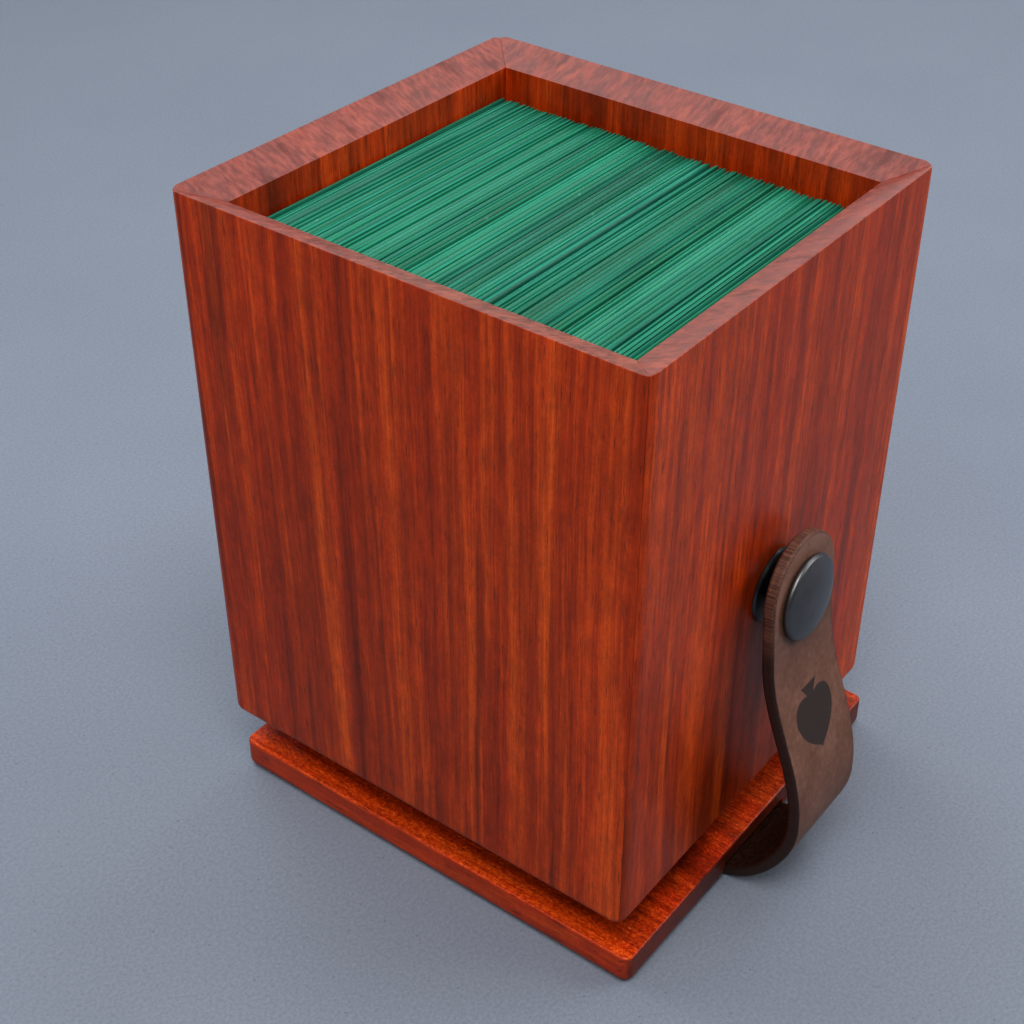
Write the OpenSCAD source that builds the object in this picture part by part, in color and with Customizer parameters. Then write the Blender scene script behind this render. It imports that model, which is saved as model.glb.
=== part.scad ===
// A wooden box for a deck of sleeved cards. It stands on its own upturned lid, and a leather strap
// that is let into the lid's outer face curls up to a press stud on the front of the box.
// X runs across the strap, Y from front to back, and Z up. The origin is the middle of the lid's
// outer face, which is the face that the whole object rests on.

/* [Box] */
// Outside width of the box, across the strap
box_w = 82; // [79.5:0.5:100]
// Outside depth of the box, from front to back
box_d = 88.4; // [87.3:0.1:110]
// Height of the box without its lid
box_h = 107; // [100:0.5:125]
// Thickness of every board
board = 6.35; // [5.5:0.05:6.9]
// Radius of the rounded outer edges of the box
edge_r = 2.2; // [1:0.1:3]
// Fall of the sloping rim, from its outer edge to its inner edge
rim_drop = 2.8; // [1:0.1:4]

/* [Lid] */
// Radius of the rounded outer edges of the lid
lid_edge_r = 1.8; // [1:0.1:2.4]
// Gap between the lid's plug and the walls that it drops between
plug_gap = 0.5; // [0.3:0.05:1.5]
// How far the box stands back from the middle of the lid
box_shift = 2.1; // [0:0.1:4]

/* [Strap] */
// Width of the leather strap
strap_w = 20; // [16:0.5:26]
// Thickness of the leather
strap_t = 2.2; // [1.8:0.1:2.2]
// Length of strap that is let into the lid
root_l = 32; // [28:0.5:50]
// How far the strap's middle line bellies out from the box
belly = 13.9; // [12:0.1:18]
// Height of the belly above the ground
belly_z = 19.1; // [16:0.1:24]
// Height of the press stud above the ground
snap_z = 60.4; // [54:0.1:70]
// Length of strap above the press stud
tip_l = 11.3; // [9:0.1:14]
// Lean of the strap at the press stud, in degrees
snap_tilt = 4.5; // [2:0.1:5]

/* [Press stud] */
// Radius of the domed cap
cap_r = 7.6; // [6.6:0.1:8]
// Radius of the flange on the box
flange_r = 6.8; // [5.5:0.1:7.2]

/* [Cards] */
// Number of sleeved cards
card_n = 92; // [1:1:93]
// Width of a sleeved card
card_w = 66.6; // [50:0.1:66.6]
// Height of a sleeved card
card_h = 93; // [60:0.5:94]
// Space that each card takes up in the row
card_pitch = 0.81; // [0.4:0.01:0.81]

/* [Hidden] */

$fn = 48;
slack = 0.05;          // gap round a screw's shank, and under a glued face that is let in
glue = 0.03;           // each wall stops this far short of the mitre, for the glue
over = 1;              // how far a cutter runs past the face that it opens

base_z = 2 * board;    // the box stands on the plug, which stands on the plate
front_y = box_shift - box_d / 2;
inner_w = box_w - 2 * board;
inner_d = box_d - 2 * board;

lid_front_y = -box_d / 2;
pocket_w = strap_w + 0.4;
pocket_t = strap_t + 2 * slack;
pocket_end_y = lid_front_y + root_l;
root_screw_ys = [pocket_end_y - 8, pocket_end_y - 22];
root_screw_l = 7.3;
lip_run = 3;           // the pocket's mouth is eased over this length, where the strap turns up
lip_rise = 0.9;

// The strap's middle line in the YZ plane: two Bezier curves, then straight past the press stud.
root_z = slack + strap_t / 2;
snap_off = strap_t / 2 + 3.9;
snap_flat = cap_r + 0.4; // the strap is straight from this far below the press stud
bend_start = [lid_front_y + 1.6, root_z];
bend_top = [front_y - belly, belly_z];
snap_at = [front_y - snap_off, snap_z];
tip_dir = [sin(snap_tilt), cos(snap_tilt)];
bend_end = snap_at - snap_flat * tip_dir;
low_bend = [bend_start, bend_start - [6, 0], bend_top - [0, 8], bend_top];
high_bend = [bend_top, bend_top + [0, 13], bend_end - 13 * tip_dir, bend_end];
hinge_t = 0.5;         // the strap swings where its lower bend is half way round
hinge_gap = 0.3;
low_steps = 8;
high_steps = 16;

screw_r = 1.4;
screw_head_r = 2.6;
screw_head_t = 1.2;
stud_head_r = 2.9;
stud_top = 2.7;
stud_screw_head_r = 2;
stud_screw_l = 5.5;    // how far the stud's screw reaches into the wall
socket_bore_r = 3.3;
socket_t = 2.3;
socket_base_t = 0.5;
post_r = 2.2;
post_flare_t = 0.25;
wire_r = 0.3;
cap_rim = 0.7;
cap_crown = 1.9;
// The stud's axis meets the middle of the tilted socket at the middle of the stud's head.
stud_z = snap_z - (snap_off - 2) * sin(snap_tilt);

card_t = card_pitch - 0.1;
cards_d = card_n * card_pitch;

function bezier(p, t) =
    pow(1 - t, 3) * p[0] + 3 * pow(1 - t, 2) * t * p[1] + 3 * (1 - t) * t * t * p[2] + t * t * t * p[3];

function bezier_dir(p, t) =
    let (v = pow(1 - t, 2) * (p[1] - p[0]) + 2 * (1 - t) * t * (p[2] - p[1]) + t * t * (p[3] - p[2]))
    v / norm(v);

// A point beside the curve: side is 1 on the strap's outer face and -1 on its inner face.
function face_point(p, t, side) =
    let (d = bezier_dir(p, t))
    bezier(p, t) + side * strap_t / 2 * [-d[1], d[0]];

// The strap swings about the outer face of its bend, so that opening it never squeezes the leather.
hinge_at = face_point(low_bend, hinge_t, 1);
echo(hinge_y = hinge_at[0], hinge_z = hinge_at[1], stud_z = stud_z);

// A block standing on z = 0 with rounded uprights and rounded bottom edges.
module eased_block(w, d, h, r) {
    translate([-w / 2, -d / 2 + r, r]) cube([w, d - 2 * r, h - r]);
    translate([-w / 2 + r, -d / 2, r]) cube([w - 2 * r, d, h - r]);
    translate([-w / 2 + r, -d / 2 + r, 0]) cube([w - 2 * r, d - 2 * r, h]);
    for (x = [-w / 2 + r, w / 2 - r]) {
        translate([x, d / 2 - r, r]) rotate([90, 0, 0]) cylinder(r = r, h = d - 2 * r);
        for (y = [-d / 2 + r, d / 2 - r]) {
            translate([x, y, r]) cylinder(r = r, h = h - r);
            translate([x, y, r]) sphere(r = r);
        }
    }
    for (y = [-d / 2 + r, d / 2 - r])
        translate([-w / 2 + r, y, r]) rotate([0, 90, 0]) cylinder(r = r, h = w - 2 * r);
}

// Places a shape that is drawn about the middle of the box's underside.
module at_box() translate([0, box_shift, base_z]) children();

// Places a shape on the strap at the press stud, with its +Z out of the strap's outer face.
module at_snap() translate([0, snap_at[0], snap_at[1]]) rotate([90 - snap_tilt, 0, 0]) children();

// Places a shape on the front wall at the press stud, with its +Z out of the wall.
module at_stud() translate([0, front_y, stud_z]) rotate([90, 0, 0]) children();

// One mitred wall with its outer face at y = -depth / 2, and its top sloping down inwards.
module mitred_wall(width, depth) {
    difference() {
        intersection() {
            eased_block(width, depth, box_h, edge_r);
            translate([0, 0, -over]) linear_extrude(box_h + 2 * over)
                polygon([
                    [-width / 2 - over + glue, -depth / 2 - over],
                    [width / 2 + over - glue, -depth / 2 - over],
                    [width / 2 - board - glue, -depth / 2 + board],
                    [-width / 2 + board + glue, -depth / 2 + board]
                ]);
        }
        translate([-width / 2 - over, -depth / 2, box_h]) rotate([-atan(rim_drop / board), 0, 0])
            translate([0, -over, 0]) cube([width + 2 * over, 3 * board, 3 * board]);
    }
}

// The strap's outline from the side: both faces along a stretch of curve points.
module strap_side(outer, inner)
    translate([-strap_w / 2, 0, 0]) rotate([90, 0, 90]) linear_extrude(strap_w)
        polygon(concat(outer, [for (i = [len(inner) - 1:-1:0]) inner[i]]));

module root_screw_place() for (y = root_screw_ys) translate([0, y, slack]) children();

module lid_plate() {
    color("firebrick") difference() {
        eased_block(box_w, box_d, board, lid_edge_r);
        translate([-pocket_w / 2, lid_front_y - over, -over])
            cube([pocket_w, root_l - pocket_w / 2 + over, pocket_t + over]);
        translate([0, pocket_end_y - pocket_w / 2, -over]) cylinder(r = pocket_w / 2, h = pocket_t + over);
        translate([-pocket_w / 2, lid_front_y, 0]) rotate([90, 0, 90]) linear_extrude(pocket_w)
            polygon([[-over, 0], [-over, pocket_t + lip_rise], [0, pocket_t + lip_rise], [lip_run, pocket_t],
                [lip_run, 0]]);
        root_screw_place() cylinder(r = screw_r + slack, h = board + over);
    }
}

module lid_plug() {
    color("brown") translate([0, 0, board]) difference() {
        rotate([180, 0, 0]) translate([0, 0, -board])
            eased_block(inner_w - 2 * plug_gap, inner_d - 2 * plug_gap, board, edge_r);
        translate([0, 0, -board - over]) root_screw_place()
            cylinder(r = screw_r + slack, h = root_screw_l + over + 2 * slack);
    }
}

module strap_root() {
    steps = [for (i = [0:low_steps]) hinge_t * i / low_steps];
    gap_dir = bezier_dir(low_bend, hinge_t) * hinge_gap;
    last_outer = face_point(low_bend, hinge_t, 1) - gap_dir;
    last_inner = face_point(low_bend, hinge_t, -1) - gap_dir;
    bend_outer = [for (i = [0:low_steps - 1]) face_point(low_bend, steps[i], 1)];
    bend_inner = [for (i = [0:low_steps - 1]) face_point(low_bend, steps[i], -1)];
    color("saddlebrown") difference() {
        union() {
            strap_side(concat([[pocket_end_y - strap_w / 2, slack]], bend_outer, [last_outer]),
                concat([[pocket_end_y - strap_w / 2, slack + strap_t]], bend_inner, [last_inner]));
            translate([0, pocket_end_y - slack - strap_w / 2, slack]) cylinder(r = strap_w / 2, h = strap_t);
        }
        root_screw_place() {
            translate([0, 0, -over]) cylinder(r = screw_head_r + slack, h = over);
            cylinder(r1 = screw_head_r + slack, r2 = screw_r + slack, h = screw_head_t);
            cylinder(r = screw_r + slack, h = board);
        }
    }
}

module root_screws() {
    color("dimgray") root_screw_place() {
        cylinder(r1 = screw_head_r, r2 = screw_r, h = screw_head_t);
        cylinder(r = screw_r, h = root_screw_l);
    }
}

module front_wall() {
    color("orangered") difference() {
        at_box() mitred_wall(box_w, box_d);
        at_stud() translate([0, 0, -stud_screw_l - slack])
            cylinder(r = screw_r + slack, h = stud_screw_l + slack + over);
    }
}

module back_wall() color("orangered") at_box() rotate([0, 0, 180]) mitred_wall(box_w, box_d);

module left_wall() color("tomato") at_box() rotate([0, 0, -90]) mitred_wall(box_d, box_w);

module right_wall() color("tomato") at_box() rotate([0, 0, 90]) mitred_wall(box_d, box_w);

module bottom_panel()
    color("chocolate") at_box() translate([-inner_w / 2, -inner_d / 2, 0]) cube([inner_w, inner_d, board]);

module snap_stud() {
    color("slategray") at_stud() difference() {
        rotate_extrude() polygon([[0, 0], [flange_r - 0.3, 0], [flange_r, 0.3], [flange_r - 0.3, 0.7],
            [stud_head_r + 0.8, 0.8], [stud_head_r - 0.5, 1], [stud_head_r - 0.5, 1.3],
            [stud_head_r, 1.7], [stud_head_r, 2.1], [stud_head_r - 0.5, stud_top], [0, stud_top]]);
        translate([0, 0, -over]) cylinder(r = screw_r + slack, h = stud_top + 2 * over);
        translate([0, 0, stud_top - screw_head_t]) cylinder(r = stud_screw_head_r + slack, h = 2 * over);
    }
}

module stud_screw() {
    color("gray") at_stud() {
        translate([0, 0, -stud_screw_l]) cylinder(r = screw_r, h = stud_screw_l + stud_top - 0.4);
        translate([0, 0, stud_top - screw_head_t]) cylinder(r = stud_screw_head_r, h = screw_head_t - 0.3);
    }
}

module strap_tail() {
    low = [for (i = [0:low_steps]) hinge_t + (1 - hinge_t) * i / low_steps];
    high = [for (i = [1:high_steps]) i / high_steps];
    tip = (snap_flat + tip_l) * tip_dir;
    outer = concat([for (t = low) face_point(low_bend, t, 1)], [for (t = high) face_point(high_bend, t, 1)],
        [face_point(high_bend, 1, 1) + tip]);
    inner = concat([for (t = low) face_point(low_bend, t, -1)], [for (t = high) face_point(high_bend, t, -1)],
        [face_point(high_bend, 1, -1) + tip]);
    tip_z = snap_z + tip_l * tip_dir[1];
    color("sienna") difference() {
        intersection() {
            strap_side(outer, inner);
            rotate([90, 0, 0]) linear_extrude(box_d) {
                translate([-strap_w / 2, 0]) square([strap_w, tip_z - strap_w / 2]);
                translate([0, tip_z - strap_w / 2]) circle(r = strap_w / 2);
            }
        }
        at_snap() cylinder(r = post_r + slack, h = 2 * strap_t, center = true);
    }
}

module snap_cap() {
    dome_r = (cap_r * cap_r + cap_crown * cap_crown) / (2 * cap_crown);
    color("darkslategray") at_snap() translate([0, 0, strap_t / 2]) {
        intersection() {
            translate([0, 0, cap_rim + cap_crown - dome_r]) sphere(r = dome_r, $fn = 96);
            translate([0, 0, cap_rim]) cylinder(r = cap_r - 0.3, h = cap_crown);
        }
        cylinder(r = cap_r - cap_rim, h = cap_rim + 0.2);
        rotate_extrude() translate([cap_r - cap_rim, cap_rim]) circle(r = cap_rim);
        mirror([0, 0, 1]) {
            cylinder(r = post_r, h = strap_t + socket_base_t);
            translate([0, 0, strap_t + socket_base_t]) cylinder(r = post_r + 0.7, h = post_flare_t);
        }
    }
}

module snap_socket() {
    color("gray") at_snap() mirror([0, 0, 1]) translate([0, 0, strap_t / 2]) difference() {
        union() {
            cylinder(r = flange_r - 0.6, h = socket_base_t);
            cylinder(r = flange_r - 1.3, h = socket_t - 0.4);
            cylinder(r = flange_r - 1.8, h = socket_t);
        }
        translate([0, 0, -over]) cylinder(r = post_r, h = over + socket_base_t);
        translate([0, 0, socket_base_t]) cylinder(r = socket_bore_r, h = socket_t);
        translate([0, 0, 1.05]) cylinder(r = socket_bore_r + 2 * wire_r + slack, h = 2 * wire_r + 2 * slack);
    }
}

module socket_spring()
    color("silver") at_snap() mirror([0, 0, 1]) translate([0, 0, strap_t / 2 + 1.05 + wire_r + slack])
        rotate([0, 0, 15]) rotate_extrude(angle = 330) translate([socket_bore_r + wire_r, 0])
            circle(r = wire_r, $fn = 24);

module sleeved_cards()
    color("mediumseagreen") at_box()
        for (i = [0:card_n - 1])
            translate([-card_w / 2, -cards_d / 2 + i * card_pitch + 0.05, board])
                cube([card_w, card_t, card_h]);

lid_plate();
lid_plug();
strap_root();
root_screws();
front_wall();
back_wall();
left_wall();
right_wall();
bottom_panel();
snap_stud();
stud_screw();
strap_tail();
snap_cap();
snap_socket();
socket_spring();
sleeved_cards();
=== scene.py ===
"""Looks for a wooden deck box of sleeved cards that stands on its upturned lid.

Everything is in metres, in the CAD frame: X across the strap, Y from front to back, Z up.
"""

import math
import random

import bmesh
import bpy
from mathutils import Matrix, Vector, noise
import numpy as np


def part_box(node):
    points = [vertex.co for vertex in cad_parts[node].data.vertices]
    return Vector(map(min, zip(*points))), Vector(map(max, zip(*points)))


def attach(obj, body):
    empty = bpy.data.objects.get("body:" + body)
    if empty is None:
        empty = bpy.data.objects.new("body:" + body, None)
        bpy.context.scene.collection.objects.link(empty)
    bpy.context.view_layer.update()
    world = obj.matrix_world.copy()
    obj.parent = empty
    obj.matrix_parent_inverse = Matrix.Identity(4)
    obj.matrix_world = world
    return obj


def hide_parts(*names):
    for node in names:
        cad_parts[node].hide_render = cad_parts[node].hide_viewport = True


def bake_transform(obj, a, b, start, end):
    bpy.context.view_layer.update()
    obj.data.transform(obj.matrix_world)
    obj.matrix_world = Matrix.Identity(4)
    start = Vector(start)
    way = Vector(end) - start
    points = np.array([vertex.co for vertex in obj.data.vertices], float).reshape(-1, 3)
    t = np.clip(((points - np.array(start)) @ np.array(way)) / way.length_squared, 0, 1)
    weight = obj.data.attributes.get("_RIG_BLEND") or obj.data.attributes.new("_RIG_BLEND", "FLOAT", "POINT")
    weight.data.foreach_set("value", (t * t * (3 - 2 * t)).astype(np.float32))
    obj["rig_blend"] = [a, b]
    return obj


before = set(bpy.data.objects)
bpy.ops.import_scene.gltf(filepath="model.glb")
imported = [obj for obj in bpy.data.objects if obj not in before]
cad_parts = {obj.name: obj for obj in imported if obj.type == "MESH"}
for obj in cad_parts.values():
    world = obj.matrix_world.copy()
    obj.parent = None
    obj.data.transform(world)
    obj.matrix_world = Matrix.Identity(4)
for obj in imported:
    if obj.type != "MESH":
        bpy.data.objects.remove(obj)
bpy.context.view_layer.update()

MM = 0.001

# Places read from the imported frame.
LID_LO, LID_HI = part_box("lid_plate")
FRONT_LO, FRONT_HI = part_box("front_wall")
BACK_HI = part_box("back_wall")[1]
LEFT_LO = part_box("left_wall")[0]
RIGHT_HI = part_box("right_wall")[1]
TAIL_LO, TAIL_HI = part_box("strap_tail")
ROOT_LO, ROOT_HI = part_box("strap_root")
CARDS_LO, CARDS_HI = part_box("sleeved_cards")

# The strap, as in the CAD source. BELLY_Z is the height at which it is furthest out at the front.
STRAP_T = 2.2 * MM
STRAP_HALF_W = (TAIL_HI.x - TAIL_LO.x) / 2
STRAP_EDGE_R = 0.55 * MM
BELLY_Z = 19.1 * MM

# The press stud. There the strap's inner face is SNAP_GAP from the front wall, and below it the
# strap is straight for SNAP_FLAT.
SNAP_Z = 60.4 * MM
SNAP_TILT = math.radians(4.5)
SNAP_GAP = 3.9 * MM
SNAP_FLAT = 8 * MM

# The row of cards.
CARD_COUNT = 92
CARD_PITCH = 0.81 * MM

# The widest bevel on any arris, which the others are a share of.
WIDEST_EASE = 2.0 * MM


# ---------------------------------------------------------------- small helpers


def add_object(name, mesh):
    obj = bpy.data.objects.new(name, mesh)
    bpy.context.scene.collection.objects.link(obj)
    return obj


def mesh_object(name, verts, faces):
    mesh = bpy.data.meshes.new(name)
    mesh.from_pydata([tuple(v) for v in verts], [], faces)
    mesh.validate()
    return add_object(name, mesh)


def shade_smooth(obj, sharp_degrees=None):
    for polygon in obj.data.polygons:
        polygon.use_smooth = True
    if sharp_degrees is not None:
        obj.data.set_sharp_from_angle(angle=math.radians(sharp_degrees))


def apply_modifiers(obj):
    graph = bpy.context.evaluated_depsgraph_get()
    graph.update()
    done = bpy.data.meshes.new_from_object(obj.evaluated_get(graph), depsgraph=graph)
    obj.modifiers.clear()
    obj.data = done


def face_outwards(obj):
    """Turns every face of a closed mesh to the outside."""
    bm = bmesh.new()
    bm.from_mesh(obj.data)
    bmesh.ops.recalc_face_normals(bm, faces=bm.faces)
    bm.to_mesh(obj.data)
    bm.free()


def set_vectors(obj, name, vectors):
    """Stores one vector for each vertex, for a material to read."""
    attribute = obj.data.attributes.new(name, "FLOAT_VECTOR", "POINT")
    attribute.data.foreach_set("vector", [c for v in vectors for c in v])


def give_material(obj, material):
    obj.data.materials.clear()
    obj.data.materials.append(material)


# ---------------------------------------------------------------- material nodes


class Shader:
    """Builds one material's node tree with short calls."""

    def __init__(self, name):
        self.material = bpy.data.materials.new(name)
        self.material.use_nodes = True
        self.nodes = self.material.node_tree.nodes
        self.links = self.material.node_tree.links
        self.nodes.clear()
        output = self.nodes.new("ShaderNodeOutputMaterial")
        self.surface = self.nodes.new("ShaderNodeBsdfPrincipled")
        self.links.new(self.surface.outputs[0], output.inputs["Surface"])

    def feed(self, value, socket):
        if isinstance(value, bpy.types.NodeSocket):
            self.links.new(value, socket)
        else:
            socket.default_value = value

    def set(self, **sockets):
        """Sets the surface's inputs by name, with _ for each space."""
        for key, value in sockets.items():
            self.feed(value, self.surface.inputs[key.replace("_", " ")])

    def object_place(self):
        return self.nodes.new("ShaderNodeTexCoord").outputs["Object"]

    def attribute(self, name, output="Vector"):
        node = self.nodes.new("ShaderNodeAttribute")
        node.attribute_name = name
        return node.outputs[output]

    def math(self, operation, a, b=0.0, clamp=False):
        node = self.nodes.new("ShaderNodeMath")
        node.operation = operation
        node.use_clamp = clamp
        self.feed(a, node.inputs[0])
        self.feed(b, node.inputs[1])
        return node.outputs[0]

    def scaled(self, vector, scale, shift=(0, 0, 0)):
        node = self.nodes.new("ShaderNodeMapping")
        node.inputs["Scale"].default_value = scale
        node.inputs["Location"].default_value = shift
        self.links.new(vector, node.inputs["Vector"])
        return node.outputs[0]

    def split(self, vector):
        node = self.nodes.new("ShaderNodeSeparateXYZ")
        self.links.new(vector, node.inputs[0])
        return node.outputs

    def join(self, x, y, z):
        node = self.nodes.new("ShaderNodeCombineXYZ")
        for value, socket in zip((x, y, z), node.inputs):
            self.feed(value, socket)
        return node.outputs[0]

    def noise(self, vector, scale=1.0, detail=3.0, rough=0.5, distortion=0.0):
        node = self.nodes.new("ShaderNodeTexNoise")
        self.links.new(vector, node.inputs["Vector"])
        node.inputs["Scale"].default_value = scale
        node.inputs["Detail"].default_value = detail
        node.inputs["Roughness"].default_value = rough
        node.inputs["Distortion"].default_value = distortion
        return node.outputs["Fac"]

    def cells(self, vector, scale):
        """The distance to the nearest of a field of scattered points."""
        node = self.nodes.new("ShaderNodeTexVoronoi")
        self.links.new(vector, node.inputs["Vector"])
        node.inputs["Scale"].default_value = scale
        return node.outputs["Distance"]

    def span(self, value, low, high, to_low=0.0, to_high=1.0):
        """Takes low..high to to_low..to_high, smoothly and without going past either."""
        node = self.nodes.new("ShaderNodeMapRange")
        node.interpolation_type = "SMOOTHSTEP"
        self.feed(value, node.inputs["Value"])
        for key, number in zip(("From Min", "From Max", "To Min", "To Max"), (low, high, to_low, to_high)):
            node.inputs[key].default_value = number
        return node.outputs[0]

    def ramp(self, value, stops):
        node = self.nodes.new("ShaderNodeValToRGB")
        elements = node.color_ramp.elements
        while len(elements) < len(stops):
            elements.new(0.5)
        for element, (place, colour) in zip(elements, stops):
            element.position = place
            element.color = (*colour, 1)
        self.feed(value, node.inputs[0])
        return node.outputs[0]

    def mix(self, share, a, b, blend="MIX"):
        node = self.nodes.new("ShaderNodeMix")
        node.data_type = "RGBA"
        node.blend_type = blend
        self.feed(share, node.inputs["Factor"])
        # A mix node has sockets for every kind of value, and these are its colours.
        colour_a, colour_b, colour_out = node.inputs[6], node.inputs[7], node.outputs[2]
        for value, socket in ((a, colour_a), (b, colour_b)):
            self.feed((*value, 1) if isinstance(value, tuple) else value, socket)
        return colour_out

    def bump(self, height, depth, strength):
        node = self.nodes.new("ShaderNodeBump")
        node.inputs["Strength"].default_value = strength
        node.inputs["Distance"].default_value = depth
        self.links.new(height, node.inputs["Height"])
        return node.outputs[0]


def wood_material(name, dark, mid, light, crimson, figure, end_dark, end_light):
    """Oiled orange-red hardwood; figure says how much curl shows in it.

    grain holds millimetres across, through and along the fibres. broad_side is 1 on a board's broad
    faces, and cut is 1 where the fibres end.
    """
    s = Shader(name)
    grain = s.attribute("grain")
    x, y, z = s.split(grain)
    # The fibres drift and waver sideways by up to about half of these distances in millimetres.
    drift_by, waver_by = 6, 0.7
    drift = s.noise(s.scaled(grain, (0.02, 0.02, 0.006)), detail=1)
    waver = s.noise(s.scaled(grain, (0.1, 0.1, 0.045)), detail=3)
    across = s.math("ADD", x, s.math("MULTIPLY", s.math("SUBTRACT", drift, 0.5), drift_by))
    across = s.math("ADD", across, s.math("MULTIPLY", s.math("SUBTRACT", waver, 0.5), waver_by))
    lie = s.join(across, s.math("MULTIPLY", y, 0.4), z)
    broad = s.noise(s.scaled(lie, (0.1, 0.1, 0.004)), detail=2)
    bands = s.noise(s.scaled(lie, (0.33, 0.33, 0.009), (7, 3, 1)), detail=3, rough=0.55)
    streaks = s.noise(s.scaled(lie, (1.05, 1.05, 0.022), (2, 9, 4)), detail=3, rough=0.6)
    fibres = s.noise(s.scaled(lie, (3.4, 3.4, 0.09), (5, 1, 8)), detail=3, rough=0.65)
    curl = s.noise(s.scaled(lie, (2.2, 2.2, 1.3), (3, 3, 3)), detail=3, rough=0.7, distortion=0.8)
    # The curl shows on a board's broad sides, and hardly at all on its edges.
    on_broad_side = s.span(s.attribute("broad_side", "Fac"), 0, 1, 0.15, 1)
    curl = s.math("MULTIPLY", s.math("SUBTRACT", curl, 0.5), on_broad_side)
    layers = [(broad, 0.36), (bands, 0.48), (streaks, 0.42), (fibres, 0.27)]
    tone = 0.0
    for layer, share in layers + [(curl, figure)]:
        tone = s.math("ADD", tone, s.math("MULTIPLY", layer, share))
    middle = sum(share for _, share in layers) / 2
    spread = 0.22 + figure * 0.13
    place = s.math("ADD", s.math("MULTIPLY", s.math("SUBTRACT", tone, middle), 0.5 / spread), 0.5, clamp=True)
    dusky = tuple(0.55 * d + 0.45 * m for d, m in zip(dark, mid))
    colour = s.ramp(place, [(0.0, dark), (0.28, dusky), (0.52, mid), (1.0, light)])
    hue = s.noise(s.scaled(lie, (0.15, 0.15, 0.008), (21, 8, 3)), detail=2)
    colour = s.mix(s.span(hue, 0.35, 0.65), colour, crimson, "MULTIPLY")
    mottle = s.noise(s.scaled(lie, (0.55, 0.55, 0.2), (13, 2, 9)), detail=3, rough=0.6)
    colour = s.mix(1.0, colour, s.span(mottle, 0.25, 0.75, 0.84, 1.16), "MULTIPLY")
    heart = s.noise(s.scaled(lie, (0.24, 0.24, 0.0055), (11, 5, 2)), detail=5, rough=0.64)
    colour = s.mix(s.span(heart, 0.57, 0.68, 0, 0.55), colour, tuple(0.62 * d for d in dark))
    pores = s.noise(s.scaled(lie, (3.2, 3.2, 0.24), (1, 6, 6)), detail=1, rough=0.4)
    pore_mask = s.span(pores, 0.62, 0.74)
    colour = s.mix(s.math("MULTIPLY", pore_mask, 0.5), colour, tuple(0.5 * d for d in dark))
    # Where the fibres end, the wood takes the end colours, and mostly its streaks and dark heart show. These
    # are the darker end grain, and on the walls they also hold a painted grey-pink sheen.
    ends = s.mix(s.span(streaks, 0.3, 0.7), end_dark, end_light)
    ends = s.mix(s.span(heart, 0.55, 0.68, 0, 0.6), ends, (0.06, 0.01, 0.007))
    colour = s.mix(s.math("MULTIPLY", s.attribute("cut", "Fac"), 0.9), colour, ends)
    height = s.math("SUBTRACT", s.math("MULTIPLY", fibres, 0.3), pore_mask)
    rough = s.span(streaks, 0.3, 0.7, 0.32, 0.44)
    s.set(Base_Color=colour, Roughness=rough, Normal=s.bump(height, 0.02 * MM, 0.7))
    s.surface.inputs["IOR"].default_value = 1.36
    return s.material


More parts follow.
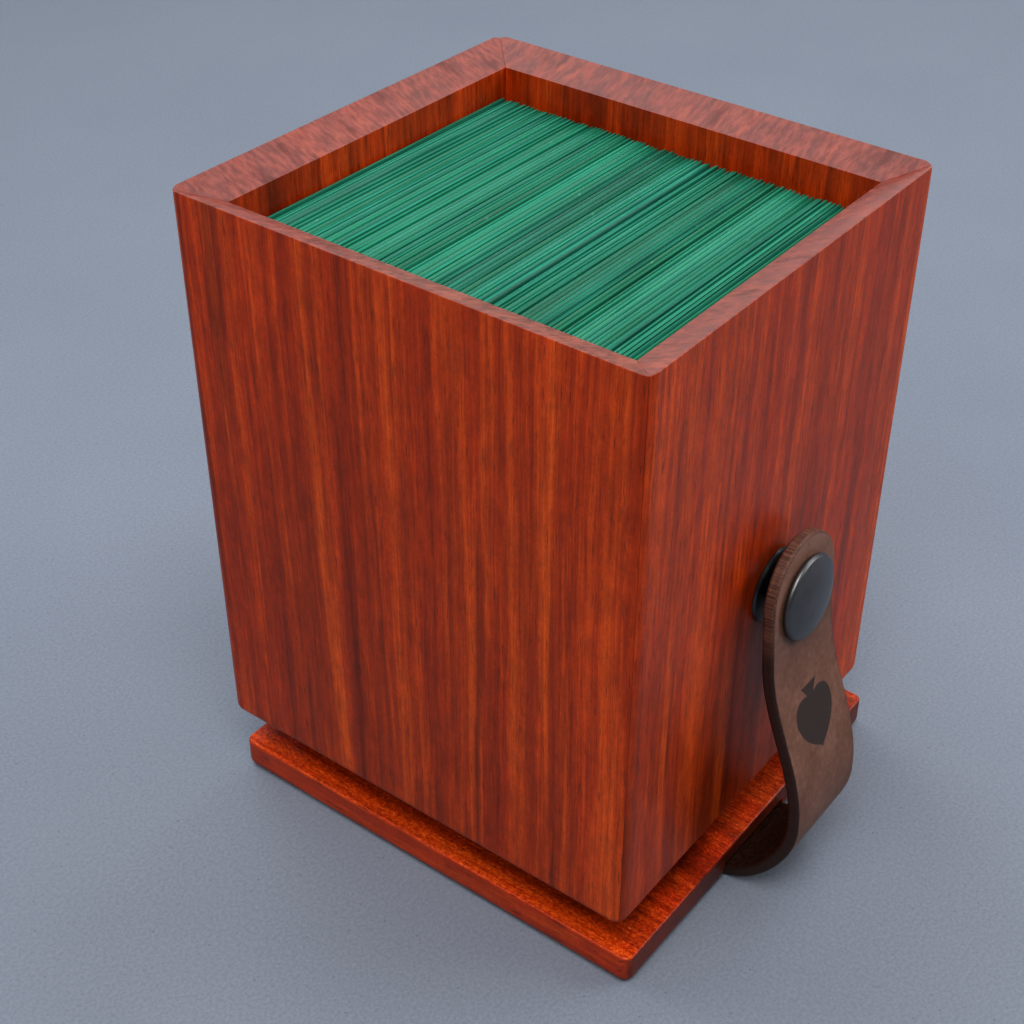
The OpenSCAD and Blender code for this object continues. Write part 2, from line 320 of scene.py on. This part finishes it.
def leather_material(name, emblem_at, head_at):
    """Waxed leather with an emblem burnt into its outer face and a raw edge round its head.

    hide holds millimetres across and along the strap, and 1 on the outer face, -1 on the inner face
    and what lies between on the edge.
    """
    s = Shader(name)
    u, v, face = s.split(s.attribute("hide"))
    head = head_at / MM
    flat = s.join(u, v, 0.0)
    cloudy = s.noise(s.scaled(flat, (0.16, 0.12, 1)), detail=4, rough=0.6)
    mottle = s.noise(s.scaled(flat, (0.9, 0.8, 1), (4, 4, 0)), detail=4, rough=0.65)
    grit = s.noise(s.scaled(flat, (4.5, 4.5, 1), (8, 1, 0)), detail=2, rough=0.6)
    pebbles = s.cells(flat, 2.6)
    tone = s.math("ADD", s.math("MULTIPLY", cloudy, 0.5), s.math("MULTIPLY", mottle, 0.5))
    # Painted highlight: the outer face is made lighter from 24 mm before the head, standing in for the light
    # from above on its outward-tilted end.
    tone = s.math("ADD", tone, s.span(v, head - 24, head - 4, 0.0, 0.17))
    outer = s.ramp(tone, [(0.3, (0.11, 0.045, 0.026)), (0.5, (0.18, 0.08, 0.05)),
                          (0.7, (0.26, 0.13, 0.09))])
    inner = s.ramp(mottle, [(0.3, (0.012, 0.004, 0.002)), (0.7, (0.045, 0.015, 0.008))])
    rim = s.ramp(grit, [(0.3, (0.018, 0.006, 0.004)), (0.7, (0.05, 0.02, 0.013))])
    raw = s.ramp(grit, [(0.35, (0.05, 0.018, 0.011)), (0.65, (0.2, 0.09, 0.06))])
    rim = s.mix(s.span(v, head - 20, head - 13), rim, raw)
    colour = s.mix(s.span(face, -0.9, -0.6), inner, rim)
    worn = s.math("ADD", face, s.math("MULTIPLY", s.math("SUBTRACT", mottle, 0.5), 0.12))
    colour = s.mix(s.span(worn, 0.80, 0.97), colour, outer)
    # The emblem is a spade: a heart outline turned over, with a flared stem. Its tip points to the lid.
    emblem_r = 4.9
    ex = s.math("DIVIDE", u, emblem_r)
    ey = s.math("DIVIDE", s.math("SUBTRACT", v, emblem_at / MM), emblem_r)
    xx = s.math("MULTIPLY", ex, ex)
    ring = s.math("SUBTRACT", s.math("ADD", xx, s.math("MULTIPLY", ey, ey)), 1.0)
    lobe = s.math("MULTIPLY", s.math("POWER", xx, 1 / 3), ey)
    blade = s.span(s.math("SUBTRACT", ring, lobe), 0.05, -0.05)
    up = s.math("SUBTRACT", ey, 0.7)
    flare = s.math("ADD", 0.1, s.math("MULTIPLY", s.math("MULTIPLY", up, up), 0.5))
    stem = s.span(s.math("SUBTRACT", flare, s.math("ABSOLUTE", ex)), -0.02, 0.02)
    stem = s.math("MULTIPLY", stem, s.math("MULTIPLY", s.span(ey, 0.5, 0.54), s.span(ey, 1.62, 1.58)))
    mark = s.math("MULTIPLY", s.math("MAXIMUM", blade, stem), s.span(face, 0.9, 0.95))
    burnt = s.mix(mottle, (0.018, 0.012, 0.01), (0.042, 0.027, 0.022))
    colour = s.mix(s.math("MULTIPLY", mark, 0.93), colour, burnt)
    creases = s.noise(s.scaled(flat, (0.35, 1.9, 1), (6, 2, 0)), detail=4, rough=0.6, distortion=0.5)
    height = s.math("ADD", s.math("MULTIPLY", pebbles, 0.5), s.math("MULTIPLY", grit, 0.45))
    height = s.math("ADD", height, s.math("MULTIPLY", creases, 0.6))
    height = s.math("SUBTRACT", height, s.math("MULTIPLY", mark, 0.9))
    smooth = s.span(face, -0.9, -0.5, 0.2, 0.46)
    rough = s.math("ADD", smooth, s.math("MULTIPLY", mottle, 0.16))
    s.set(Base_Color=colour, Roughness=rough, Normal=s.bump(height, 0.06 * MM, 0.8))
    s.surface.inputs["IOR"].default_value = 1.4
    return s.material


def metal_material(name, colour, rough):
    """Plated metal with a faint bloom and fine handling marks, in object coordinates."""
    s = Shader(name)
    place = s.object_place()
    bloom = s.noise(s.scaled(place, (260, 260, 260)), detail=4, rough=0.6)
    marks = s.noise(s.scaled(place, (5200, 900, 2600)), detail=2, rough=0.7)
    duller, brighter = (tuple(share * c for c in colour) for share in (0.72, 1.25))
    s.set(
        Base_Color=s.mix(bloom, duller, brighter),
        Roughness=s.math("ADD", rough - 0.06, s.math("MULTIPLY", marks, 0.14)),
        Normal=s.bump(marks, 0.004 * MM, 0.5),
    )
    s.surface.inputs["Metallic"].default_value = 1.0
    return s.material


def sleeve_material(name):
    """Green plastic sleeves seen edge on. The sleeve attribute holds a shade and a hue for each card."""
    s = Shader(name)
    shade, hue, _ = s.split(s.attribute("sleeve"))
    place = s.object_place()
    along = s.noise(s.scaled(place, (45, 1900, 220)), detail=4, rough=0.65)
    clouds = s.noise(s.scaled(place, (45, 70, 45)), detail=3, rough=0.55)
    tone = s.math("MULTIPLY", shade, 0.3)
    tone = s.math("ADD", tone, s.math("MULTIPLY", along, 0.44))
    tone = s.math("ADD", tone, s.math("MULTIPLY", clouds, 0.26))
    green = s.ramp(tone, [(0.25, (0.002, 0.055, 0.035)), (0.5, (0.011, 0.178, 0.116)),
                          (0.75, (0.045, 0.32, 0.22))])
    green = s.mix(s.math("MULTIPLY", hue, 0.4), green, (0.008, 0.22, 0.09))
    flecks = s.cells(s.scaled(place, (170, 900, 60)), 1.0)
    green = s.mix(s.span(flecks, 0.1, 0.02, 0, 0.35), green, (0.2, 0.5, 0.4))
    s.set(
        Base_Color=green,
        Roughness=s.span(along, 0.2, 0.8, 0.38, 0.5),
        Normal=s.bump(along, 0.03 * MM, 0.5),
    )
    s.surface.inputs["IOR"].default_value = 1.38
    return s.material


def floor_material():
    """Grey-blue paper with short fibres, pinholes and soft dents."""
    s = Shader("pale_paper")
    place = s.object_place()
    fibre = s.noise(s.scaled(place, (1500, 1500, 1500)), detail=4, rough=0.75)
    cloud = s.noise(s.scaled(place, (14, 14, 14)), detail=4, rough=0.6)
    pale = s.mix(cloud, (0.186, 0.209, 0.253), (0.217, 0.24, 0.282))
    grainy = s.mix(1.0, pale, s.span(fibre, 0.25, 0.75, 0.86, 1.14), "MULTIPLY")
    specks = s.cells(place, 330.0)
    dark = s.mix(s.span(specks, 0.08, 0.05, 0, 0.35), grainy, (0.06, 0.065, 0.08))
    dents = s.noise(s.scaled(place, (42, 42, 42)), detail=3, distortion=0.4)
    height = s.math("ADD", s.math("MULTIPLY", fibre, 0.1), s.span(dents, 0.62, 0.7))
    s.set(Base_Color=dark, Roughness=0.7, Normal=s.bump(height, 0.12 * MM, 0.35))
    s.surface.inputs["IOR"].default_value = 1.35
    return s.material


# ---------------------------------------------------------------- wooden boards


def off_axis(point, centre, axis):
    """How far a point is from the line through centre along axis 0, 1 or 2."""
    away = point - centre
    away[axis] = 0
    return away.length


def fill_screw_holes(bm, holes):
    """Closes the bores under screws and flanges, where nothing shows, so that each face is one polygon."""
    largest_bore_r = 1.6 * MM
    for centre, axis in holes:
        bore = [f for f in bm.faces if all(off_axis(v.co, centre, axis) < largest_bore_r for v in f.verts)]
        bmesh.ops.delete(bm, geom=bore, context="FACES")
    bmesh.ops.holes_fill(bm, edges=[e for e in bm.edges if e.is_boundary], sides=0)


def is_mitre(face):
    """Whether a face is one of the box's glued mitres: large, upright and at 45 degrees."""
    diagonal = min(abs(face.normal.x), abs(face.normal.y)) > 0.6
    return diagonal and abs(face.normal.z) < 0.1 and face.calc_area() > 300 * MM * MM


def eased_board(node, name, body, axes, shift, material, ease, holes=()):
    """A board that stands for a CAD node: its own shape with every arris eased by ease(edge middle, mitred).

    axes orders the frame's axes as across, through and along the grain, and shift is where in the tree
    the board lay. The two boards of the lid share one place, and the others have one each.
    """
    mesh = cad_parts[node].data.copy()
    bm = bmesh.new()
    bm.from_mesh(mesh)
    bmesh.ops.remove_doubles(bm, verts=bm.verts, dist=0.002 * MM)
    fill_screw_holes(bm, holes)
    bmesh.ops.dissolve_limit(bm, angle_limit=math.radians(0.2), verts=bm.verts, edges=bm.edges)
    weight = bm.edges.layers.float.new("bevel_weight_edge")
    for edge in bm.edges:
        if len(edge.link_faces) != 2 or edge.calc_face_angle() < math.radians(25):
            continue
        middle = (edge.verts[0].co + edge.verts[1].co) / 2
        mitred = any(is_mitre(f) for f in edge.link_faces)
        edge[weight] = min(1.0, ease(middle, mitred) / WIDEST_EASE)
    bm.to_mesh(mesh)
    bm.free()
    for layer in list(mesh.attributes):
        if layer.name in ("custom_normal", "sharp_edge", "sharp_face"):
            mesh.attributes.remove(layer)
    obj = add_object(name, mesh)
    bevel = obj.modifiers.new("arris", "BEVEL")
    bevel.limit_method = "WEIGHT"
    bevel.width = WIDEST_EASE
    bevel.segments = 5
    bevel.offset_type = "WIDTH"
    bevel.miter_outer = "MITER_ARC"
    shade_smooth(obj)
    normals = obj.modifiers.new("normals", "WEIGHTED_NORMAL")
    normals.weight = 100
    apply_modifiers(obj)
    set_vectors(obj, "grain", [[v.co[a] / MM + o for a, o in zip(axes, shift)] for v in obj.data.vertices])
    for facing, axis in (("broad_side", axes[1]), ("cut", axes[2])):
        share = obj.data.attributes.new(facing, "FLOAT", "CORNER")
        share.data.foreach_set("value", [n.vector[axis] ** 2 for n in obj.data.corner_normals])
    give_material(obj, material)
    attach(obj, body)
    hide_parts(node)


def from_outline(point, left, right, front, back):
    """How far a point is inside the nearest of four upright sides."""
    return min(point.x - left, right - point.x, point.y - front, back - point.y)


def wall_ease(middle, mitred):
    """The rim's outer arris is rounded most, its inner one less, and the glued mitres hardly at all."""
    if mitred:
        return 0.05 * MM
    below_rim = FRONT_HI.z - middle.z
    inside_by = from_outline(middle, LEFT_LO.x, RIGHT_HI.x, FRONT_LO.y, BACK_HI.y)
    if below_rim < 1.2 * MM and inside_by < 1.5 * MM:
        return WIDEST_EASE
    return 0.5 * MM if below_rim < 4 * MM else 0.25 * MM


def lid_ease(middle, mitred):
    """The arris round the lid's upper face is rounded most."""
    on_top = middle.z > LID_HI.z - 0.2 * MM
    inside_by = from_outline(middle, LID_LO.x, LID_HI.x, LID_LO.y, LID_HI.y)
    return 0.6 * MM if on_top and inside_by < 1.0 * MM else 0.12 * MM


def make_boards():
    """The seven boards. Each screw hole is its middle and the axis that it runs along."""
    screws_lo, screws_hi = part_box("root_screws")
    head_r = (screws_hi.x - screws_lo.x) / 2
    lid_holes = [(Vector((0, screws_lo.y + head_r, 0)), 2), (Vector((0, screws_hi.y - head_r, 0)), 2)]
    stud_lo, stud_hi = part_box("stud_screw")
    stud_holes = [((stud_lo + stud_hi) / 2, 1)]
    # The wall's end colours are partly its darker end grain and partly painted sheen: their grey-pink tint
    # stands in for the rim's reflection of the lamps.
    wall = wood_material(
        "padauk_wall", dark=(0.16, 0.016, 0.002), mid=(0.43, 0.045, 0.002), light=(0.79, 0.125, 0.008),
        crimson=(1.0, 0.86, 0.8), figure=0.2, end_dark=(0.1, 0.036, 0.032), end_light=(0.215, 0.085, 0.073))
    lid = wood_material(
        "padauk_lid", dark=(0.12, 0.008, 0.001), mid=(0.47, 0.042, 0.002), light=(0.95, 0.17, 0.015),
        crimson=(1.0, 0.78, 0.8), figure=1.1, end_dark=(0.06, 0.007, 0.002), end_light=(0.17, 0.022, 0.006))
    upright_x, upright_y, lengthwise = (0, 1, 2), (1, 0, 2), (0, 2, 1)
    walls = (("front_wall", "board_front", upright_x, (49, 4, 11), stud_holes),
             ("back_wall", "board_back", upright_x, (161, 9, 60), ()),
             ("left_wall", "board_left", upright_y, (310, 2, 140), ()),
             ("right_wall", "board_right", upright_y, (505, 7, 230), ()))
    for node, name, axes, shift, holes in walls:
        eased_board(node, name, "box", axes, shift, wall, wall_ease, holes)
    eased_board("bottom_panel", "board_bottom", "box", lengthwise, (640, 3, 25), wall,
                lambda middle, mitred: 0.1 * MM)
    eased_board("lid_plate", "board_lid", "lid", lengthwise, (77, 5, 90), lid,
                lid_ease, lid_holes)
    eased_board("lid_plug", "board_plug", "lid", lengthwise, (77, 5, 90), lid,
                lambda middle, mitred: 0.25 * MM, lid_holes)


# ---------------------------------------------------------------- the strap


def bezier(p, t):
    """The point at share t of the cubic curve with the four control points p."""
    a = (1 - t) ** 3
    b = 3 * (1 - t) ** 2 * t
    c = 3 * (1 - t) * t * t
    return p[0] * a + p[1] * b + p[2] * c + p[3] * t**3


def strap_line():
    """The strap's middle line in the YZ plane, from its end under the lid to its tip, in even small steps."""
    root_z = ROOT_LO.z + STRAP_T / 2
    start = Vector((LID_LO.y + 1.6 * MM, root_z))
    belly = Vector((TAIL_LO.y + STRAP_T / 2, BELLY_Z))
    snap = Vector((FRONT_LO.y - STRAP_T / 2 - SNAP_GAP, SNAP_Z))
    lean = Vector((math.sin(SNAP_TILT), math.cos(SNAP_TILT)))
    flat = snap - SNAP_FLAT * lean
    # How far the curves' control points reach from the lid, below the belly and above it.
    lid_reach, low_reach, high_reach = 6 * MM, 8 * MM, 13 * MM
    low = [start, start - Vector((lid_reach, 0)), belly - Vector((0, low_reach)), belly]
    high = [belly, belly + Vector((0, high_reach)), flat - high_reach * lean, flat]
    low_steps, high_steps = 120, 160
    tip_l = (TAIL_HI.z - SNAP_Z) / lean.y
    points = [Vector((ROOT_HI.y, root_z))]
    points += [bezier(low, i / low_steps) for i in range(low_steps + 1)]
    points += [bezier(high, i / high_steps) for i in range(1, high_steps + 1)]
    points += [snap, snap + tip_l * lean]
    return points


class Route:
    """Places along a line of points by distance."""

    def __init__(self, points):
        self.points = points
        self.at = [0.0]
        for a, b in zip(points, points[1:]):
            self.at.append(self.at[-1] + (b - a).length)
        self.length = self.at[-1]

    def place(self, s):
        """The point and the direction at distance s."""
        past = next((k for k, d in enumerate(self.at) if d > s), len(self.at))
        i = max(0, min(len(self.at) - 2, past - 1))
        a, b = self.points[i], self.points[i + 1]
        run = (b - a).length
        ahead, behind = self.points[min(i + 2, len(self.points) - 1)], self.points[max(i - 1, 0)]
        share = (s - self.at[i]) / run
        direction = ((1 - share) * (b - behind).normalized() + share * (ahead - a).normalized()).normalized()
        return a + (b - a) * share, direction

    def reaches(self, z, after):
        """The distance past after at which the line first reaches height z."""
        return next(d for p, d in zip(self.points, self.at) if d > after and p.y >= z)


def steps_from_edge(length, fine, coarse):
    """Distances from 0 to length: the fine ones near both ends, and even coarse ones between."""
    last = fine[-1]
    count = round((length - 2 * last) / coarse)
    between = [last + (length - 2 * last) * i / count for i in range(1, count)]
    return fine + between + [length - f for f in reversed(fine)]


def make_strap():
    """One strip of leather with round ends, an eased and slightly frayed edge, and a dent round the cap.

    Along the strip s runs from the end in the lid, u runs across it, and r is half its width and the
    radius of its ends.
    """
    route = Route(strap_line())
    half_t, r = STRAP_T / 2, STRAP_HALF_W
    side_steps = [f * MM for f in (0, 0.05, 0.14, 0.28, 0.42, 0.58, 0.8, 1.15)]
    columns = [d / r - 1 for d in steps_from_edge(2 * r, side_steps, 0.5 * MM)]
    end_steps = [f * MM for f in (0.002, 0.03, 0.1, 0.22, 0.4, 0.62, 0.9, 1.3, 1.8, 2.4)]
    rows = steps_from_edge(route.length, end_steps, 0.42 * MM)
    out_of_lid = ROOT_HI.y - LID_LO.y
    snap_s = route.length - (TAIL_HI.z - SNAP_Z) / math.cos(SNAP_TILT)
    side_heights = (0.5, 0.0, -0.5)
    frayed_w = 0.7 * MM
    dent_r, dent_w, dent_depth = 7.4 * MM, 1.1 * MM, 0.1 * MM

    def half_width(s):
        d = min(s, route.length - s)
        return r if d >= r else math.sqrt(max(0.0, r * r - (r - d) ** 2))

    def inset(u, s):
        """How far a point of the flat strap is from its outline."""
        d = min(s, route.length - s)
        return r - abs(u) if d >= r else r - math.hypot(u, r - d)

    def face_height(u, s):
        d = min(max(inset(u, s), 0.0), STRAP_EDGE_R)
        return half_t - STRAP_EDGE_R + math.sqrt(STRAP_EDGE_R**2 - (STRAP_EDGE_R - d) ** 2)

    verts, hide = [], []
    for s in rows:
        point, direction = route.place(s)
        out = Vector((-direction.y, direction.x))
        hw = half_width(s)
        ring = [(c * hw, face_height(c * hw, s), 1) for c in columns]
        ring += [(hw, h * (half_t - STRAP_EDGE_R) * 2, 0) for h in side_heights]
        ring += [(c * hw, -face_height(c * hw, s), -1) for c in reversed(columns)]
        ring += [(-hw, -h * (half_t - STRAP_EDGE_R) * 2, 0) for h in side_heights]
        # The edge is raw round the head, so it frays more finely and deeper there.
        fray_scale, fray_depth = (900, 0.16) if s > route.length - 1.7 * r else (350, 0.07)
        for u, h, side in ring:
            edge = max(0.0, 1 - inset(u, s) / frayed_w)
            face = side * (1 - 0.35 * edge) if side else h / half_t * 0.5
            if s > out_of_lid:
                fray = noise.noise(Vector((u, s, h)) * fray_scale) * fray_depth
                u -= math.copysign(edge * (abs(fray) + 0.02) * MM, u) if abs(u) > 1e-6 else 0.0
                h *= 1 - 0.06 * edge * noise.noise(Vector((u, s, 3)) * 300)
            if side == 1:
                from_dent = (math.hypot(u, s - snap_s) - dent_r) / dent_w
                h -= dent_depth * math.exp(-(from_dent**2))
            place = point + out * h
            verts.append((u, place.x, place.y))
            hide.append((u / MM, s / MM, face))
    n = len(columns) * 2 + len(side_heights) * 2
    faces = [
        (j * n + i, j * n + (i + 1) % n, (j + 1) * n + (i + 1) % n, (j + 1) * n + i)
        for j in range(len(rows) - 1)
        for i in range(n)
    ]
    faces += [tuple(reversed(range(n))), tuple(range((len(rows) - 1) * n, len(rows) * n))]
    obj = mesh_object("leather_strap", verts, faces)
    set_vectors(obj, "hide", hide)
    face_outwards(obj)
    shade_smooth(obj, 60)
    emblem_z, past_the_root = 36 * MM, 40 * MM
    emblem_at = route.reaches(emblem_z, past_the_root) - 1 * MM
    give_material(obj, leather_material("waxed_leather", emblem_at, route.length))
    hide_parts("strap_root", "strap_tail")
    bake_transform(obj, "lid", "strap", start=(0, LID_LO.y - 0.5 * MM, ROOT_LO.z), end=(0, TAIL_LO.y, BELLY_Z))


# ---------------------------------------------------------------- metal pieces


def lathe(name, profile, place, steps=96):
    """Turns a profile of (radius, height) about the local Z axis of the matrix place."""
    verts, faces = [], []
    for radius, height in profile:
        for i in range(steps):
            a = 2 * math.pi * i / steps
            verts.append(place @ Vector((radius * math.cos(a), radius * math.sin(a), height)))
    for j in range(len(profile) - 1):
        for i in range(steps):
            k = (i + 1) % steps
            faces.append((j * steps + i, j * steps + k, (j + 1) * steps + k, (j + 1) * steps + i))
    faces += [tuple(reversed(range(steps))), tuple(range((len(profile) - 1) * steps, len(profile) * steps))]
    return mesh_object(name, verts, faces)


def snap_place():
    """The press stud's middle on the strap's line, with Z out of the strap's outer face."""
    y = FRONT_LO.y - STRAP_T / 2 - SNAP_GAP
    return Matrix.Translation((0, y, SNAP_Z)) @ Matrix.Rotation(math.pi / 2 - SNAP_TILT, 4, "X")


def make_cap():
    """The press stud's cap: a shallow dome that rolls over at its rim, with a post through the strap."""
    rim_r, roll, crown = 7.6 * MM, 0.7 * MM, 1.2 * MM
    post_r, flare_r = 2.2 * MM, 2.9 * MM
    dome_steps, roll_steps = 24, 12
    neck = rim_r - roll
    dome_r = (neck**2 + crown**2) / (2 * crown)
    top = 2 * roll + crown
    slope = math.asin(neck / dome_r)
    profile = []
    for i in range(dome_steps):
        radius = neck * i / dome_steps
        profile.append((max(0.02 * MM, radius), top - dome_r + math.sqrt(dome_r**2 - radius**2)))
    for i in range(roll_steps + 1):
        a = (math.pi / 2 - slope) - (math.pi - slope) * i / roll_steps
        profile.append((neck + roll * math.cos(a), roll + roll * math.sin(a)))
    profile += [(neck - 0.4 * MM, 0.05 * MM), (neck - 0.5 * MM, -0.05 * MM), (post_r, -0.05 * MM),
                (post_r, -STRAP_T - 0.5 * MM), (flare_r, -STRAP_T - 0.52 * MM),
                (flare_r, -STRAP_T - 0.75 * MM)]
    lift = Matrix.Translation((0, 0, STRAP_T / 2))
    obj = lathe("stud_cap", list(reversed(profile)), snap_place() @ lift)
    shade_smooth(obj, 50)
    give_material(obj, metal_material("gunmetal", (0.15, 0.147, 0.15), 0.4))
    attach(obj, "strap")
    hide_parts("snap_cap")


def finish_hardware():
    """The CAD screws, stud, socket and spring keep their shapes and get plated metal."""
    dark = metal_material("dark_nickel", (0.11, 0.11, 0.115), 0.34)
    steel = metal_material("zinc_steel", (0.5, 0.5, 0.5), 0.3)
    for node, material in (("snap_stud", dark), ("snap_socket", dark), ("stud_screw", steel),
                           ("root_screws", steel), ("socket_spring", steel)):
        give_material(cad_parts[node], material)


# ---------------------------------------------------------------- the cards


def make_cards():
    """One closed sleeve for each card, welded thin along its top and sides, standing a little unevenly.

    Each card's lean and shade start from those of the card in front of it.
    """
    rng = random.Random(7)
    half_w = (CARDS_HI.x - CARDS_LO.x) / 2
    width_steps = [f * MM - half_w for f in (0.25, 0.6, 1.3, 2.6, 6, 12, 19, 26)]
    width_steps += [-x for x in reversed(width_steps)]
    body_half = CARD_PITCH / 2 - 0.03 * MM
    weld_w, corner_w, corner_drop = 1.6 * MM, 0.5 * MM, 0.12 * MM
    taper, bend, crease = 1.5 * MM, 0.55 * MM, 0.06 * MM
    verts, faces, sleeve = [], [], []
    lean = 0.0
    shade = 0.5
    for index in range(CARD_COUNT):
        y0 = CARDS_LO.y + (index + 0.5) * (CARDS_HI.y - CARDS_LO.y) / CARD_COUNT
        drop = abs(rng.gauss(0, 0.2)) * MM
        slide = rng.uniform(-0.18, 0.18) * MM
        lean = 0.55 * lean + rng.gauss(0, 0.085) * MM
        weld_half = rng.uniform(0.08, 0.3) * MM
        wave, phase = rng.uniform(0.0, 0.11) * MM, rng.uniform(0, 6.3)
        shade = min(1.0, max(0.0, 0.5 + 0.45 * (shade - 0.5) + rng.gauss(0, 0.2)))
        hue = rng.random()
        first = len(verts)
        for x in width_steps:
            from_side = half_w - abs(x)
            thin = min(1.0, 0.28 + from_side / weld_w)
            sway = wave * math.sin(phase + x * 60)
            peak = CARDS_HI.z - drop - (corner_drop if from_side < corner_w else 0.0)
            back_half = [(body_half, CARDS_LO.z), (body_half, peak - taper),
                         (body_half * 0.86, peak - bend), (weld_half, peak - crease)]
            section = [(-y, z) for y, z in back_half] + [(0, peak)] + back_half[::-1]
            for across, z in section:
                at_top = max(0.0, (z - (peak - taper)) / taper)
                verts.append((x + slide, y0 + across * thin + at_top * (lean + sway), z))
                sleeve.append((shade, hue, 0.0))
        n = len(section)
        for j in range(len(width_steps) - 1):
            a, b = first + j * n, first + (j + 1) * n
            faces += [(a + i, a + (i + 1) % n, b + (i + 1) % n, b + i) for i in range(n)]
        faces += [tuple(first + i for i in reversed(range(n))),
                  tuple(first + (len(width_steps) - 1) * n + i for i in range(n))]
    obj = mesh_object("card_row", verts, faces)
    set_vectors(obj, "sleeve", sleeve)
    face_outwards(obj)
    shade_smooth(obj, 50)
    give_material(obj, sleeve_material("green_sleeves"))
    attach(obj, "deck")
    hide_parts("sleeved_cards")


# ---------------------------------------------------------------- camera, floor and light


def add_camera():
    """The photo's camera, solved from the box's straight edges."""
    azimuth, elevation, roll = (math.radians(a) for a in (-55.15, 36.27, 1.63))
    back = Vector((math.sin(azimuth) * math.cos(elevation), -math.cos(azimuth) * math.cos(elevation),
                   math.sin(elevation)))
    level = Vector((0, 0, 1)).cross(back).normalized()
    over = back.cross(level)
    right = math.cos(roll) * level + math.sin(roll) * over
    up = math.cos(roll) * over - math.sin(roll) * level
    data = bpy.data.cameras.new("camera")
    data.sensor_width = 36
    data.lens = 60.27
    data.shift_x = -0.0645
    data.clip_start = 0.01
    camera = add_object("camera", data)
    eye = Vector((-0.1993, -0.1416, 0.2352))
    camera.matrix_world = Matrix.Translation(eye) @ Matrix((right, up, back)).transposed().to_4x4()
    bpy.context.scene.camera = camera


def add_floor():
    half = 3.0
    floor = mesh_object("floor", [(-half, -half, 0), (half, -half, 0), (half, half, 0), (-half, half, 0)],
                        [(0, 1, 2, 3)])
    give_material(floor, floor_material())


def add_softbox(name, place, target, width, height, power, colour=(1, 1, 1)):
    """An area light of power watts that faces the target."""
    data = bpy.data.lights.new(name, "AREA")
    data.shape = "RECTANGLE"
    data.size, data.size_y = width, height
    data.energy = power
    data.color = colour
    light = add_object(name, data)
    light.location = place
    light.rotation_euler = (Vector(target) - Vector(place)).to_track_quat("-Z", "Y").to_euler()


def add_light():
    world = bpy.data.worlds.new("studio")
    world.use_nodes = True
    background = world.node_tree.nodes["Background"]
    background.inputs["Color"].default_value = (0.88, 0.93, 1.0, 1)
    background.inputs["Strength"].default_value = 0.12
    bpy.context.scene.world = world
    aim = (0, 0, 0.06)
    cool = (0.92, 0.96, 1.0)
    add_softbox("left_lamp", (-0.38, 0.0, 0.48), aim, 0.3, 0.3, 0.9)
    add_softbox("near_overhead", (-0.3, -0.25, 0.85), aim, 0.45, 0.45, 3.8)
    add_softbox("front_window", (0.66, -0.72, 0.58), aim, 0.6, 0.6, 4.5)
    add_softbox("back_overhead", (0.05, 0.42, 0.85), aim, 0.55, 0.55, 3.9, cool)
    add_softbox("right_overhead", (0.6, -0.05, 0.8), aim, 0.55, 0.55, 2.7, cool)
    add_softbox("back_card", (1.1, 0.8, 0.2), aim, 1.6, 0.5, 3.4, cool)
    view = bpy.context.scene.view_settings
    view.view_transform = "Standard"
    view.exposure = 0.3
    view.gamma = 0.85


add_camera()
add_floor()
add_light()
make_boards()
make_strap()
make_cap()
finish_hardware()
make_cards()
